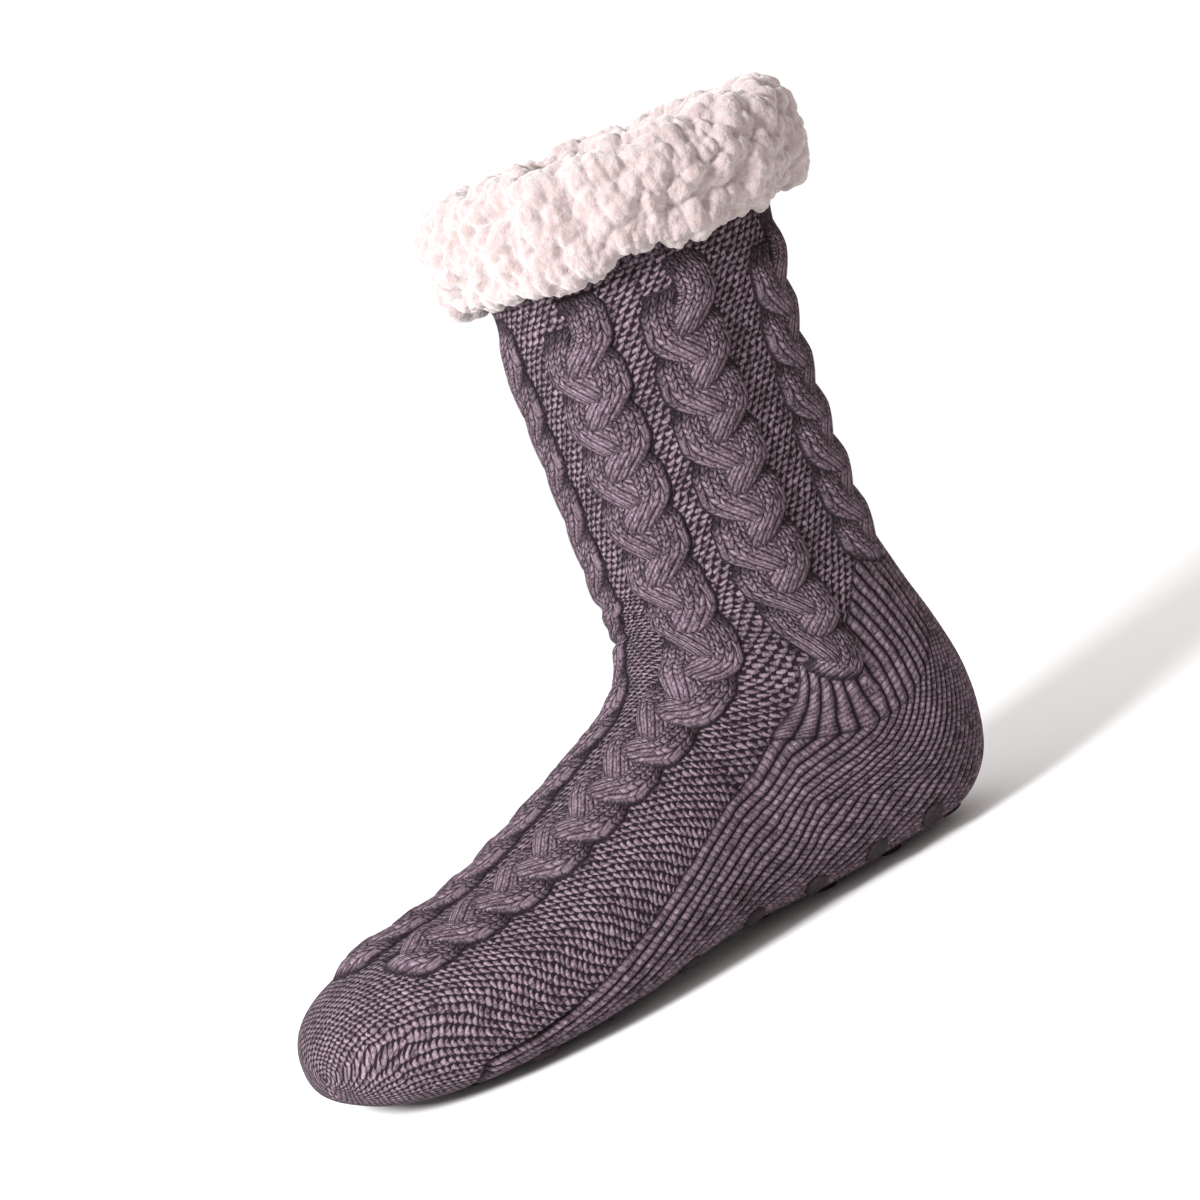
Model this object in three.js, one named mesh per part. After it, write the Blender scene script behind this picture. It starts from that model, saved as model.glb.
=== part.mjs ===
// A knitted slipper sock for a left foot, standing as if worn: one knitted sock with
// raised cables, a curly fleece lining turned down over its top as a cuff, and
// silicone grip dots under the sole.
// Millimetres. +X points to the toe, +Y to the outer side of the foot, +Z up.
// The dots under the heel and the ball stand on z = 0.
import * as THREE from "three";

// Foot, measured outside the plain knit.
const FOOT_LENGTH = 250;
const BALL_WIDTH = 95;
const HEEL_WIDTH = 72;
const INSTEP_HEIGHT = 75;
const TOE_REACH = 43;
const TOE_TIP_HEIGHT = 18;
const ARCH_RISE = 2.5;

// Shaft, from the bend of the ankle to the knitted edge under the cuff.
const ANKLE_HEIGHT = 112;
const ANKLE_DEPTH = 86;
const ANKLE_WIDTH = 79;
const EDGE_HEIGHT = 231;
const EDGE_DEPTH = 97;
const EDGE_WIDTH = 89;

// Knitted wall and the cables that stand out of it.
const WALL = 3;
const CABLE_WIDTH = 24;
const CABLE_RISE = 3;
const CABLE_REPEAT = 17;
const PLAIN_EDGE = 36;

// Fleece cuff: how far it stands out, in and over the knitted edge, and its drop.
const CUFF_PROUD = 11.5;
const CUFF_INSIDE = 5;
const CUFF_OVER = 9;
const CUFF_DROP = 32;
const TUFT_RISE = 2.2;
const TUFT_REPEAT = 11.5;
const TUFT_UNEVEN = 0.35;

// Grip dots.
const DOT_DIAMETER = 8;
const DOT_THICKNESS = 1.2;
const DOT_BEVEL = 0.5;

// Clearance between pieces that touch on the real sock.
const GAP = 0.3;

// Mesh steps: rows of the knit along the sock, and sides of a dot.
const ROW_STEP = 4.3;
const HEEL_ROW_STEP = 5.6;
const TOE_ROWS = 9;
const DOT_SIDES = 10;

const SOLE_HEIGHT = DOT_THICKNESS + GAP;

// Shaft sections, top down. up: share of the way from ankle to knitted edge.
// flare: share of the way from the ankle's to the edge's depth and width.
// back: distance behind which the shaft ends, as a share of the foot's length.
const SHAFT_SECTIONS = [
  { up: 1.0, flare: 1.0, back: 0.005 },
  { up: 0.78, flare: 0.72, back: 0.022 },
  { up: 0.52, flare: 0.18, back: 0.047 },
  { up: 0.25, flare: -0.05, back: 0.059 },
  { up: 0.0, flare: 0.0, back: 0.06 },
];

// Heel sections, which turn from level at the ankle to upright at mid foot.
// turn and rise: shares of the way from the ankle's front to the top of the instep,
// level and down. back: share of foot length. up: share of ankle height above the sole.
// width: share of heel width. belly: where it is widest, as a share of its depth.
const HEEL_SECTIONS = [
  { turn: 0.007, rise: 0.124, back: 0.053, up: 0.87, width: 1.09, belly: 0.5, upper: 2.1, sole: 2.1 },
  { turn: 0.027, rise: 0.235, back: 0.036, up: 0.7, width: 1.08, belly: 0.49, upper: 2.1, sole: 2.1 },
  { turn: 0.058, rise: 0.332, back: 0.013, up: 0.53, width: 1.07, belly: 0.47, upper: 2.1, sole: 2.1 },
  { turn: 0.096, rise: 0.418, back: 0.0, up: 0.37, width: 1.065, belly: 0.45, upper: 2.1, sole: 2.15 },
  { turn: 0.141, rise: 0.494, back: 0.004, up: 0.225, width: 1.06, belly: 0.43, upper: 2.1, sole: 2.2 },
  { turn: 0.194, rise: 0.565, back: 0.027, up: 0.1, width: 1.06, belly: 0.42, upper: 2.1, sole: 2.35 },
  { turn: 0.25, rise: 0.627, back: 0.072, up: 0.025, width: 1.065, belly: 0.4, upper: 2.1, sole: 2.5 },
  { turn: 0.325, rise: 0.694, back: 0.135, up: 0.0, width: 1.07, belly: 0.385, upper: 2.1, sole: 2.65 },
  { turn: 0.423, rise: 0.765, back: 0.205, up: 0.0, width: 1.08, belly: 0.37, upper: 2.08, sole: 2.75 },
  { turn: 0.548, rise: 0.837, back: 0.275, up: 0.0, width: 1.095, belly: 0.36, upper: 2.05, sole: 2.8 },
  { turn: 0.689, rise: 0.901, back: 0.34, up: 0.003, width: 1.11, belly: 0.355, upper: 2.03, sole: 2.8 },
  { turn: 0.837, rise: 0.954, back: 0.4, up: 0.012, width: 1.125, belly: 0.35, upper: 2.01, sole: 2.8 },
];

// Foot sections, upright, from mid foot to the start of the rounded toe and, before
// rounding, on to its tip. along: share of foot length. top: share of instep height.
// arch: share of the arch's rise. width and shift (outwards): shares of ball width.
const FOOT_SECTIONS = [
  { along: 0.46, top: 1.03, arch: 1.0, width: 0.86, shift: 0.012, belly: 0.35, upper: 2.0, sole: 2.8 },
  { along: 0.56, top: 0.885, arch: 0.8, width: 0.93, shift: 0.012, belly: 0.36, upper: 2.0, sole: 2.8 },
  { along: 0.65, top: 0.76, arch: 0.15, width: 0.985, shift: 0.0, belly: 0.38, upper: 2.05, sole: 2.9 },
  { along: 0.735, top: 0.665, arch: 0.0, width: 1.0, shift: -0.012, belly: 0.4, upper: 2.1, sole: 3.0 },
  { along: 0.82, top: 0.62, arch: 0.0, width: 0.965, shift: -0.03, belly: 0.42, upper: 2.15, sole: 3.0 },
  { along: 0.91, top: 0.59, arch: 0.0, width: 0.905, shift: -0.062, belly: 0.43, upper: 2.2, sole: 2.8 },
  { along: 1.0, top: 0.565, arch: 0.0, width: 0.86, shift: -0.095, belly: 0.44, upper: 2.2, sole: 2.6 },
];
const TOE_ROUNDNESS = 2.7;

// Cables: centre as degrees round the sock from its front, outer side positive, and
// where each ends, as a share of the way from the knitted edge to the toe. CABLE_FADE
// is the length in which a cable rises and sinks at its ends.
const CABLES = [
  { at: 28, end: 0.92 },
  { at: 73, end: 0.47 },
  { at: 127, end: 0.37 },
  { at: 179, end: 0.36 },
  { at: 230, end: 0.37 },
  { at: 273, end: 0.47 },
  { at: 338, end: 0.92 },
];
const CABLE_FADE = 9;

// A cable's plait, across from -1 to 1: its body as a share of its rise and how square
// that is, and each strand's middle, half width and slant, how far its crest leans to
// its end, and how full it is.
const BODY_SHARE = 0.42;
const BODY_SQUARENESS = 6;
const STRAND_MIDDLE = 0.42;
const STRAND_HALF = 0.68;
const STRAND_SLANT = 0.22;
const STRAND_LEAN = 1.4;
const STRAND_FULLNESS = 0.7;

// The tables as sections in millimetres, each with the two ends of its middle line.
function shaftSection(row) {
  const depth = ANKLE_DEPTH + row.flare * (EDGE_DEPTH - ANKLE_DEPTH);
  const width = ANKLE_WIDTH + row.flare * (EDGE_WIDTH - ANKLE_WIDTH);
  const height = ANKLE_HEIGHT + row.up * (EDGE_HEIGHT - ANKLE_HEIGHT);
  const backX = row.back * FOOT_LENGTH;
  return {
    frontX: backX + depth,
    frontZ: height,
    backX,
    backZ: height,
    half: width / 2,
    shift: 0,
    belly: 0.5,
    upper: 2.1,
    sole: 2.1,
  };
}

function footSection(row) {
  const x = row.along * FOOT_LENGTH;
  return {
    frontX: x,
    frontZ: row.top * INSTEP_HEIGHT,
    backX: x,
    backZ: SOLE_HEIGHT + row.arch * ARCH_RISE,
    half: (row.width * BALL_WIDTH) / 2,
    shift: row.shift * BALL_WIDTH,
    belly: row.belly,
    upper: row.upper,
    sole: row.sole,
  };
}

const ankle = shaftSection(SHAFT_SECTIONS[SHAFT_SECTIONS.length - 1]);
const midFoot = footSection(FOOT_SECTIONS[0]);

function heelSection(row) {
  return {
    frontX: ankle.frontX + row.turn * (midFoot.frontX - ankle.frontX),
    frontZ: ankle.frontZ + row.rise * (midFoot.frontZ - ankle.frontZ),
    backX: row.back * FOOT_LENGTH,
    backZ: SOLE_HEIGHT + row.up * (ANKLE_HEIGHT - SOLE_HEIGHT),
    half: (row.width * HEEL_WIDTH) / 2,
    shift: 0,
    belly: row.belly,
    upper: row.upper,
    sole: row.sole,
  };
}

const sections = [
  ...SHAFT_SECTIONS.map(shaftSection),
  ...HEEL_SECTIONS.map(heelSection),
  ...FOOT_SECTIONS.map(footSection),
];

// Stations: the way along the sock's middle line, in millimetres from its edge.
const middle = (s) => new THREE.Vector2((s.frontX + s.backX) / 2, (s.frontZ + s.backZ) / 2);
const stations = [0];
for (let i = 1; i < sections.length; i++) {
  stations.push(stations[i - 1] + middle(sections[i]).distanceTo(middle(sections[i - 1])));
}
const ANKLE_STATION = stations[SHAFT_SECTIONS.length - 1];
const MID_FOOT_STATION = stations[SHAFT_SECTIONS.length + HEEL_SECTIONS.length];
const TIP_STATION = stations[stations.length - 1];
const TOE_STATION = TIP_STATION - TOE_REACH;

// A smooth value between the sections' own, with each slope taken from its neighbours.
function between(key, station) {
  let i = 1;
  while (i < stations.length - 1 && stations[i] < station) i++;
  const slope = (k) => {
    const a = Math.max(k - 1, 0);
    const b = Math.min(k + 1, stations.length - 1);
    return (sections[b][key] - sections[a][key]) / (stations[b] - stations[a]);
  };
  const span = stations[i] - stations[i - 1];
  const f = (station - stations[i - 1]) / span;
  const f2 = f * f;
  const f3 = f2 * f;
  return (
    (2 * f3 - 3 * f2 + 1) * sections[i - 1][key] +
    (f3 - 2 * f2 + f) * span * slope(i - 1) +
    (3 * f2 - 2 * f3) * sections[i][key] +
    (f3 - f2) * span * slope(i)
  );
}

const KEYS = Object.keys(sections[0]);

// The section at a station. Past the toe's start it shrinks to the tip as a dome.
function sectionAt(station) {
  const turn = ((station - TOE_STATION) / TOE_REACH) * (Math.PI / 2);
  const inDome = turn > 0;
  const grow = 2 / TOE_ROUNDNESS;
  const where = inDome ? TOE_STATION + TOE_REACH * Math.sin(turn) ** grow : station;
  const section = Object.fromEntries(KEYS.map((key) => [key, between(key, where)]));
  if (inDome) {
    const scale = Math.max(Math.cos(turn), 0) ** grow;
    section.half *= scale;
    for (const key of ["frontZ", "backZ"]) {
      section[key] = TOE_TIP_HEIGHT + (section[key] - TOE_TIP_HEIGHT) * scale;
    }
  }
  return section;
}

const power = (value, exponent) => Math.sign(value) * Math.abs(value) ** exponent;

// A point of a section's outline. angle runs from its front over the outer side.
function outlinePoint(section, angle) {
  const c = Math.cos(angle);
  const exponent = 2 / (c >= 0 ? section.upper : section.sole);
  const share = section.belly + (c >= 0 ? 1 - section.belly : section.belly) * power(c, exponent);
  return new THREE.Vector3(
    section.backX + share * (section.frontX - section.backX),
    section.shift + section.half * power(Math.sin(angle), exponent),
    section.backZ + share * (section.frontZ - section.backZ),
  );
}

// The outline at even steps of its own length, each half from front to back by itself.
const OUTLINE_STEPS = 40;
function outlineAt(section, round) {
  const turn = ((round % 1) + 1) % 1;
  const side = turn <= 0.5 ? 1 : -1;
  const share = turn <= 0.5 ? turn * 2 : (1 - turn) * 2;
  let length = 0;
  const lengths = [0];
  const points = [outlinePoint(section, 0)];
  for (let i = 1; i <= OUTLINE_STEPS; i++) {
    points.push(outlinePoint(section, (side * Math.PI * i) / OUTLINE_STEPS));
    length += points[i].distanceTo(points[i - 1]);
    lengths.push(length);
  }
  const wanted = share * length;
  let i = 1;
  while (i < OUTLINE_STEPS && lengths[i] < wanted) i++;
  const step = lengths[i] - lengths[i - 1] || 1;
  return points[i - 1].clone().lerp(points[i], (wanted - lengths[i - 1]) / step);
}

// A point of the sock's surface, lifted along its outward direction.
const NEAR = 0.4;
const NEAR_ROUND = 0.004;
const TIP_SHARE = 0.02;
function surface(station, round, lift = 0) {
  const end = TIP_STATION - TIP_SHARE * TOE_REACH;
  if (station > end) {
    const tip = sectionAt(TIP_STATION);
    return new THREE.Vector3(tip.frontX + lift, tip.shift, TOE_TIP_HEIGHT);
  }
  const here = sectionAt(station);
  const point = outlineAt(here, round);
  if (lift === 0) return point;
  const before = sectionAt(Math.max(station - NEAR, 0));
  const after = sectionAt(Math.min(station + NEAR, end));
  const alongWay = outlineAt(after, round).sub(outlineAt(before, round));
  const aroundWay = outlineAt(here, round + NEAR_ROUND).sub(outlineAt(here, round - NEAR_ROUND));
  return point.addScaledVector(aroundWay.cross(alongWay).normalize(), -lift);
}

const smooth = THREE.MathUtils.smoothstep;

// One strand's lobe of a plait: across from -1 to 1, along in repeats.
function lobe(across, along, side) {
  const slanted = along + STRAND_SLANT * side * across + (side > 0 ? 0 : 0.5);
  const part = slanted - Math.floor(slanted);
  const reach = Math.max(1 - ((across - STRAND_MIDDLE * side) / STRAND_HALF) ** 2, 0);
  return reach * Math.sin(Math.PI * part ** STRAND_LEAN) ** STRAND_FULLNESS;
}

// How far the knit stands out at a place, from every cable there. runs holds, for
// each cable, how far it has run there and how long it is.
function cableRise(station, round, runs) {
  const girth = around(station);
  let rise = 0;
  CABLES.forEach((cable, i) => {
    let off = round - cable.at / 360;
    off -= Math.round(off);
    const across = (off * girth) / (CABLE_WIDTH / 2);
    const { run, length } = runs[i];
    const shown =
      smooth(run, PLAIN_EDGE, PLAIN_EDGE + CABLE_FADE) * (1 - smooth(run, length - CABLE_FADE, length));
    if (Math.abs(across) >= 1 || shown === 0) return;
    const body = BODY_SHARE * (1 - across ** BODY_SQUARENESS);
    const phase = run / CABLE_REPEAT;
    const higher = Math.max(lobe(across, phase, 1), lobe(across, phase, -1));
    const strands = (1 - BODY_SHARE) * higher;
    rise = Math.max(rise, CABLE_RISE * shown * (body + strands));
  });
  return rise;
}

const girths = new Map();
function around(station) {
  if (!girths.has(station)) {
    const section = sectionAt(station);
    let girth = 0;
    for (let i = 0; i < OUTLINE_STEPS; i++) {
      const a = outlinePoint(section, (2 * Math.PI * i) / OUTLINE_STEPS);
      girth += a.distanceTo(outlinePoint(section, (2 * Math.PI * (i + 1)) / OUTLINE_STEPS));
    }
    girths.set(station, girth);
  }
  return girths.get(station);
}

// Rows of the knit's mesh, and its columns: both edges, quarters and middle of each
// cable, and the middle of each band between two cables.
function evenSteps(from, to, step) {
  const count = Math.max(Math.round((to - from) / step / 2) * 2, 2);
  return Array.from({ length: count }, (_, i) => from + ((to - from) * i) / count);
}

const rows = [
  ...evenSteps(0, ANKLE_STATION, ROW_STEP),
  ...evenSteps(ANKLE_STATION, MID_FOOT_STATION, HEEL_ROW_STEP),
  ...evenSteps(MID_FOOT_STATION, TOE_STATION, ROW_STEP),
  ...evenSteps(TOE_STATION, TIP_STATION, TOE_REACH / TOE_ROWS),
];

// For each row, how far each cable has run there and its whole length, measured along
// the sock's surface so that the repeats keep their length round the ankle.
const cableRuns = (() => {
  const runs = CABLES.map(() => [0]);
  rows.slice(1).forEach((station, r) => {
    CABLES.forEach((cable, i) => {
      const round = cable.at / 360;
      const step = surface(station, round).distanceTo(surface(rows[r], round));
      runs[i].push(runs[i][r] + step);
    });
  });
  const lengths = CABLES.map((cable, i) => {
    const end = rows.findIndex((station) => station > cable.end * TIP_STATION);
    const share = (cable.end * TIP_STATION - rows[end - 1]) / (rows[end] - rows[end - 1]);
    return runs[i][end - 1] + share * (runs[i][end] - runs[i][end - 1]);
  });
  return rows.map((_, r) => CABLES.map((_, i) => ({ run: runs[i][r], length: lengths[i] })));
})();

const halfTurn = CABLE_WIDTH / 2 / around(ANKLE_STATION);
const columns = CABLES.flatMap((cable, i) => {
  const centre = cable.at / 360;
  const next = i + 1 < CABLES.length ? CABLES[i + 1].at / 360 : 1 + CABLES[0].at / 360;
  return [-1, -0.5, 0, 0.5, 1].map((k) => centre + k * halfTurn).concat((centre + next) / 2);
});

// A closed mesh from rings of points and triangles between them.
function meshOf(name, positions, triangles, material) {
  const geometry = new THREE.BufferGeometry();
  const flat = positions.flatMap((p) => [p.x, p.y, p.z]);
  geometry.setAttribute("position", new THREE.Float32BufferAttribute(flat, 3));
  geometry.setIndex(triangles);
  geometry.computeVertexNormals();
  const mesh = new THREE.Mesh(geometry, material);
  mesh.name = name;
  return mesh;
}

// Two triangles for each cell between two rings of the same count.
function stripBetween(first, second, count) {
  const triangles = [];
  for (let i = 0; i < count; i++) {
    const j = (i + 1) % count;
    triangles.push(first + i, second + i, second + j, first + i, second + j, first + j);
  }
  return triangles;
}

// The knitted sock: outer skin with its cables, inner skin, both closed at the toe
// and joined round the level top edge.
function knitSock(material) {
  const positions = [];
  const triangles = [];
  const count = columns.length;
  rows.forEach((station, r) => {
    for (const round of columns) {
      positions.push(surface(station, round, cableRise(station, round, cableRuns[r])));
    }
    if (r > 0) triangles.push(...stripBetween((r - 1) * count, r * count, count));
  });
  const tip = positions.push(surface(TIP_STATION, 0)) - 1;
  const last = (rows.length - 1) * count;
  for (let i = 0; i < count; i++) triangles.push(last + i, tip, last + ((i + 1) % count));

  const half = count / 2;
  const inside = positions.length;
  const innerRows = rows.filter((_, r) => r % 2 === 0);
  innerRows.forEach((station, r) => {
    for (let c = 0; c < count; c += 2) {
      const place = surface(station, columns[c], -WALL);
      if (r === 0) place.z = EDGE_HEIGHT;
      positions.push(place);
    }
    if (r > 0) triangles.push(...stripBetween(inside + r * half, inside + (r - 1) * half, half));
  });
  const innerTip = positions.push(surface(TIP_STATION, 0, -WALL)) - 1;
  const innerLast = inside + (innerRows.length - 1) * half;
  for (let i = 0; i < half; i++) {
    triangles.push(innerLast + i, innerLast + ((i + 1) % half), innerTip);
    const a = inside + i;
    const b = inside + ((i + 1) % half);
    const outer = [2 * i, 2 * i + 1, (2 * i + 2) % count];
    triangles.push(outer[0], outer[1], a, outer[1], b, a, outer[1], outer[2], b);
  }
  return meshOf("knit_sock", positions, triangles, material);
}

// The fleece cuff's section, going round from the inner face of the turned-down flap.
// base: the face of the wall that a corner is measured from, out or in. share: share of
// the cuff's reach on that side. drop: share of its drop, down from its top. tuft: share
// of a tuft's rise. The waves make neighbouring tufts uneven.
const CUFF_OUTLINE = [
  { base: "out", share: 0.0, drop: 0.93, tuft: 0 },
  { base: "out", share: 0.35, drop: 1.0, tuft: 0.4 },
  { base: "out", share: 0.78, drop: 0.95, tuft: 0.8 },
  { base: "out", share: 0.97, drop: 0.78, tuft: 1 },
  { base: "out", share: 1.0, drop: 0.6, tuft: 1 },
  { base: "out", share: 1.0, drop: 0.42, tuft: 1 },
  { base: "out", share: 0.95, drop: 0.24, tuft: 1 },
  { base: "out", share: 0.72, drop: 0.09, tuft: 1 },
  { base: "out", share: 0.28, drop: 0.01, tuft: 0.8 },
  { base: "in", share: 0.1, drop: 0.02, tuft: 0.6 },
  { base: "in", share: 0.8, drop: 0.13, tuft: 0.5 },
  { base: "in", share: 1.0, drop: 0.36, tuft: 0.5 },
  { base: "in", share: 0.95, drop: 0.66, tuft: 0.5 },
  { base: "in", share: 0.6, drop: 0.93, tuft: 0.3 },
  { base: "in", share: 0.0, drop: 0.96, tuft: 0 },
];

// The station of the shaft's level section at a height.
const CLOSE_ENOUGH = 0.003;
const levels = new Map();
function shaftStation(height) {
  if (levels.has(height)) return levels.get(height);
  let low = 0;
  let high = ANKLE_STATION;
  while (high - low > CLOSE_ENOUGH) {
    const trial = (low + high) / 2;
    if (sectionAt(trial).frontZ > height) low = trial;
    else high = trial;
  }
  levels.set(height, low);
  return low;
}

// A place on the flat facets of the knitted wall near its edge, moved level by out.
// The outer skin has all the columns and the inner skin every second one.
function wallPlace(round, side, out, height) {
  const station = shaftStation(height);
  const lift = side === "out" ? 0 : -WALL;
  const stops = columns.filter((_, c) => side === "out" || c % 2 === 0);
  const turn = stops[0] + ((((round - stops[0]) % 1) + 1) % 1);
  let i = stops.length - 1;
  while (stops[i] > turn) i--;
  const from = stops[i];
  const to = i + 1 < stops.length ? stops[i + 1] : stops[0] + 1;
  const start = surface(station, from, lift);
  const end = surface(station, to, lift);
  const point = start.clone().lerp(end, (turn - from) / (to - from));
  const edge = sectionAt(station);
  const way = outlineAt(edge, round + NEAR_ROUND).sub(outlineAt(edge, round - NEAR_ROUND));
  const outward = new THREE.Vector3(way.y, -way.x, 0).normalize();
  point.addScaledVector(outward, out);
  point.z = height;
  return point;
}

const WAVE_ROUND = 2.4;
const WAVE_ALONG = 1.7;
function sherpaCuff(material) {
  const girth = around(0) + 2 * Math.PI * CUFF_PROUD;
  const count = 2 * Math.round(girth / TUFT_REPEAT);
  const topHeight = EDGE_HEIGHT + CUFF_OVER;
  const positions = [];
  const triangles = [];
  const ring = CUFF_OUTLINE.length + 2;
  for (let c = 0; c < count; c++) {
    const round = c / count;
    CUFF_OUTLINE.forEach((corner, k) => {
      const away = corner.base === "out" ? 1 : -1;
      const reach = corner.base === "out" ? CUFF_PROUD : CUFF_INSIDE;
      const wave = (c + k) % 2 === 0 ? 0 : -1;
      const uneven = TUFT_UNEVEN * Math.sin(WAVE_ROUND * c + WAVE_ALONG * k);
      const tuft = corner.tuft * TUFT_RISE * Math.min(wave + uneven, 0);
      const out = away * (GAP + corner.share * (reach - GAP) + tuft);
      positions.push(wallPlace(round, corner.base, out, topHeight - corner.drop * CUFF_DROP));
    });
    positions.push(wallPlace(round, "in", -GAP, EDGE_HEIGHT + GAP));
    positions.push(wallPlace(round, "out", GAP, EDGE_HEIGHT + GAP));
  }
  for (let c = 0; c < count; c++) {
    for (let k = 0; k < ring; k++) {
      const low = [c * ring + k, c * ring + ((k + 1) % ring)];
      const high = low.map((i) => (i + ring) % (count * ring));
      const corners = [low[0], high[0], high[1], low[1]];
      const first = (c + k) % 2 === 0 ? 1 : 0;
      const turned = [0, 1, 2, 3].map((i) => corners[(i + first) % 4]);
      triangles.push(turned[0], turned[1], turned[2], turned[0], turned[2], turned[3]);
    }
  }
  return meshOf("sherpa_cuff", positions, triangles, material);
}

// The station whose section meets the middle of the sole at a distance from the heel.
// A section belongs to the sole once its back end is lower than SOLE_SHARE of the ankle.
const SOLE_SHARE = 0.25;
function soleStation(along) {
  let low = ANKLE_STATION;
  let high = TIP_STATION;
  while (high - low > CLOSE_ENOUGH) {
    const trial = (low + high) / 2;
    const section = sectionAt(trial);
    const reached = section.backX > along && section.backZ < SOLE_SHARE * ANKLE_HEIGHT;
    if (reached) high = trial;
    else low = trial;
  }
  return high;
}

// A dot lies on the sole's own surface, and is pressed flat where it meets the floor.
function gripDot(name, station, round, material) {
  const centre = surface(station, round);
  const alongScale = centre.distanceTo(surface(station + NEAR, round)) / NEAR;
  const aroundScale = centre.distanceTo(surface(station, round + NEAR_ROUND)) / NEAR_ROUND;
  const place = (turn, radius, lift) => {
    const ahead = (radius * Math.cos(turn)) / alongScale;
    const aside = (radius * Math.sin(turn)) / aroundScale;
    return surface(station + ahead, round + aside, lift);
  };
  const positions = [place(0, 0, GAP), place(0, 0, GAP + DOT_THICKNESS)];
  const pressed = positions[1].z < DOT_THICKNESS / 2;
  for (let i = 0; i < DOT_SIDES; i++) {
    const turn = (2 * Math.PI * i) / DOT_SIDES;
    positions.push(place(turn, DOT_DIAMETER / 2, GAP));
    positions.push(place(turn, DOT_DIAMETER / 2 - DOT_BEVEL, GAP + DOT_THICKNESS));
  }
  if (pressed) positions.forEach((p, i) => (p.z = i % 2 === 1 ? 0 : p.z));
  const triangles = [];
  for (let i = 0; i < DOT_SIDES; i++) {
    const top = 2 + 2 * i;
    const nextTop = 2 + 2 * ((i + 1) % DOT_SIDES);
    triangles.push(0, nextTop, top, 1, top + 1, nextTop + 1);
    triangles.push(top, nextTop + 1, top + 1, top, nextTop, nextTop + 1);
  }
  return meshOf(name, positions, triangles, material);
}

// Lines of dots along the sole. across: place towards the inner side, as a share of ball
// width. first and last: places of the end dots from the heel, as shares of foot length.
const DOT_LINES = [
  { across: -0.347, first: 0.096, last: 0.852, count: 8 },
  { across: -0.116, first: 0.15, last: 0.798, count: 7 },
  { across: 0.116, first: 0.096, last: 0.852, count: 8 },
  { across: 0.347, first: 0.15, last: 0.798, count: 7 },
];

function gripDots(material) {
  const dots = [];
  for (const line of DOT_LINES) {
    for (let i = 0; i < line.count; i++) {
      const share = line.first + ((line.last - line.first) * i) / (line.count - 1);
      const station = soleStation(share * FOOT_LENGTH);
      const round = 0.5 - (line.across * BALL_WIDTH) / around(station);
      const name = `grip_dot_${String(dots.length + 1).padStart(2, "0")}`;
      dots.push(gripDot(name, station, round, material));
    }
  }
  return dots;
}

const knitMaterial = new THREE.MeshStandardMaterial({
  color: 0x6b5f6e,
  roughness: 0.95,
  metalness: 0,
});
const sherpaMaterial = new THREE.MeshStandardMaterial({
  color: 0xf3e6e2,
  roughness: 1,
  metalness: 0,
});
const siliconeMaterial = new THREE.MeshStandardMaterial({
  color: 0x3d3740,
  roughness: 0.55,
  metalness: 0,
});

// The origin is under the middle of the whole sock, on the floor.
const pieces = new THREE.Group();
pieces.add(knitSock(knitMaterial), sherpaCuff(sherpaMaterial), ...gripDots(siliconeMaterial));
const box = new THREE.Box3().setFromObject(pieces);
pieces.position.set(-(box.min.x + box.max.x) / 2, -(box.min.y + box.max.y) / 2, 0);

const sock = new THREE.Group();
sock.add(pieces);
export default sock;
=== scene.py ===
"""The looks of a knitted slipper sock for a left foot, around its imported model.

Metres. +X points to the toe, +Y to the outer side of the foot, +Z up, and the sock
stands on z = 0. The knit is one smooth skin, from the same sections as the model,
that is raised by its cables and stitches. Fleece, lining, dots and floor follow.
"""

import math

import bpy
import numpy as np
from mathutils import Matrix, Vector
from mathutils.kdtree import KDTree


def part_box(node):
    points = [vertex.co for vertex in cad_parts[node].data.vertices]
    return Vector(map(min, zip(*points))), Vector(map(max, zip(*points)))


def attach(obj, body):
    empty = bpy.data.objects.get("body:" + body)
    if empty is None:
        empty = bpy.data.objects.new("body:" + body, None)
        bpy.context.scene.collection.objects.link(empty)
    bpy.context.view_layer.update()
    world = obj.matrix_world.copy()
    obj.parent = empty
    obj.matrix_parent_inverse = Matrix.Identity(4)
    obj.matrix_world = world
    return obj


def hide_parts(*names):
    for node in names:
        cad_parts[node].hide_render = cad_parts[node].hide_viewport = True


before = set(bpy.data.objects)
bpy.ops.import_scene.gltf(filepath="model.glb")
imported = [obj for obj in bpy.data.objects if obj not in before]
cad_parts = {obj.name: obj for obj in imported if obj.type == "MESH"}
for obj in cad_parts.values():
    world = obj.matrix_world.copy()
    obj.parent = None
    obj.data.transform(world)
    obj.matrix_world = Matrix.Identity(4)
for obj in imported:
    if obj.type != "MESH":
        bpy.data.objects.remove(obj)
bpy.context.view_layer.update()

# Foot, measured outside the plain knit.
FOOT_LENGTH = 0.250
BALL_WIDTH = 0.095
HEEL_WIDTH = 0.072
INSTEP_HEIGHT = 0.075
TOE_REACH = 0.043
TOE_TIP_HEIGHT = 0.018
TOE_ROUNDNESS = 2.7
ARCH_RISE = 0.0025
SOLE_HEIGHT = 0.0015

# Shaft, from the bend of the ankle to the knitted edge under the cuff.
ANKLE_HEIGHT = 0.112
ANKLE_DEPTH = 0.086
ANKLE_WIDTH = 0.079
EDGE_HEIGHT = 0.231
EDGE_DEPTH = 0.097
EDGE_WIDTH = 0.089
WALL = 0.003

# Cables, and the stitches: a wale is a column of them and a course is a row.
CABLE_WIDTH = 0.024
CABLE_RISE = 0.003
CABLE_REPEAT = 0.017
PLAIN_EDGE = 0.036
WALES_ROUND = 84
COURSE = 0.0021

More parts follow.
